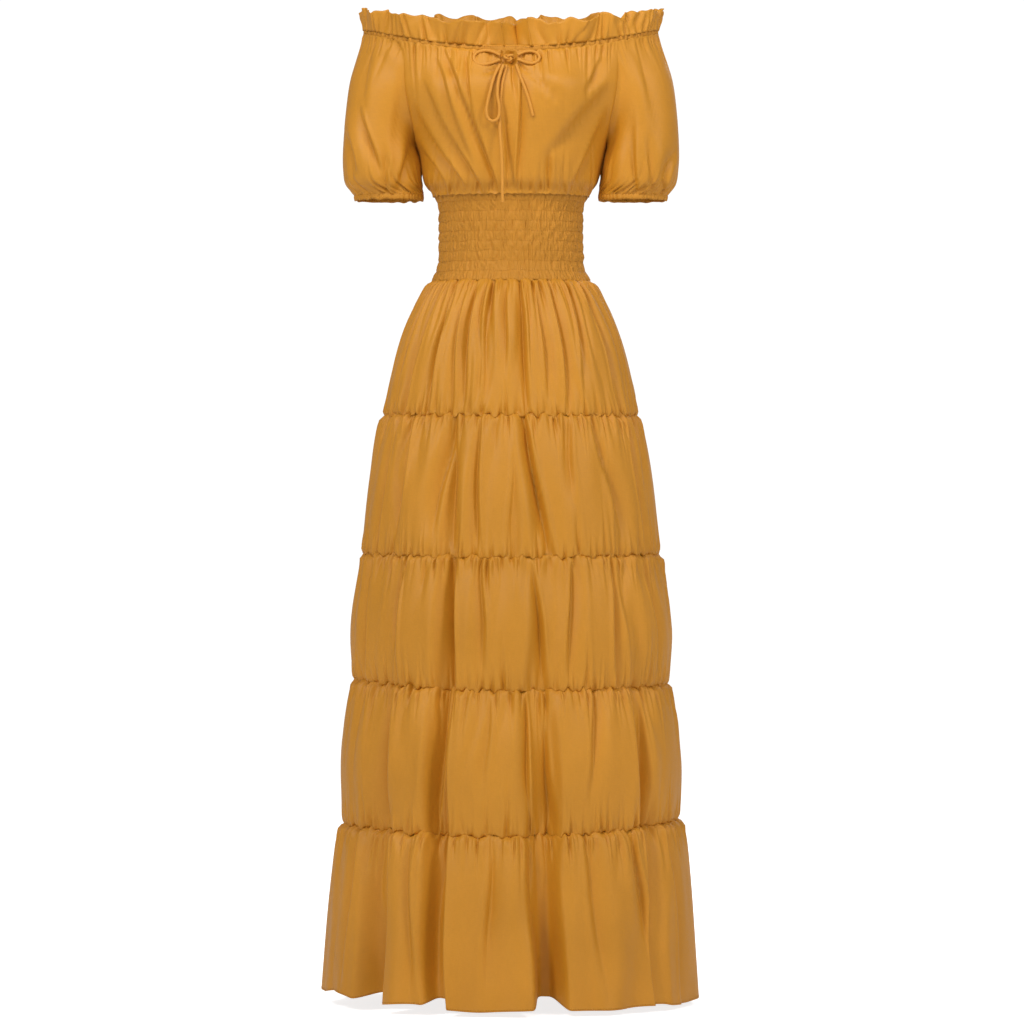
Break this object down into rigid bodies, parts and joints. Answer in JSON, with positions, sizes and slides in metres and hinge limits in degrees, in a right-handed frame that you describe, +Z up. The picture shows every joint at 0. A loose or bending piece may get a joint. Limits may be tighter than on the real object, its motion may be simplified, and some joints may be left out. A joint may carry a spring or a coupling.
{
  "type": "peasant dress",
  "caption": "Long off-shoulder peasant dress: ruffled elastic neckline with a tied drawstring, short puffed sleeves, shirred waist and a gathered tiered skirt, filled out and hollow.",
  "frame": {"origin": "middle of the elastic neckline, level with its sides, where the wearer's shoulders hold the dress", "axes": "+Z up, -Y the wearer's front, +X the wearer's left"},
  "size_m": [0.52, 0.449, 1.3718],
  "materials": {
    "cloth": "plain-woven mustard cotton blend, nearly matt",
    "casing": "the same cloth folded over elastic",
    "shirring": "the same cloth, puckered by rows of elastic thread",
    "tie": "narrow tube of the same cloth"
  },
  "bodies": {
    "root": {"bodice_front": "cloth", "bodice_back": "cloth", "sleeve_left": "cloth", "sleeve_right": "cloth", "neck_ruffle_front": "cloth", "neck_ruffle_back": "cloth", "tier_1_front": "cloth", "tier_1_back": "cloth", "tier_2_front": "cloth", "tier_2_back": "cloth", "tier_3_front": "cloth", "tier_3_back": "cloth", "tier_4_front": "cloth", "tier_4_back": "cloth", "tier_5_front": "cloth", "tier_5_back": "cloth", "neck_casing_front": "casing", "neck_casing_back": "casing", "cuff_left": "casing", "cuff_right": "casing", "shirred_waist_front": "shirring", "shirred_waist_back": "shirring", "tie_knot": "tie", "tie_loop_left": "tie", "tie_loop_right": "tie", "tie_loop_hanging": "tie", "tie_tail_long": "tie", "tie_tail_short": "tie"}
  },
  "joints": []
}
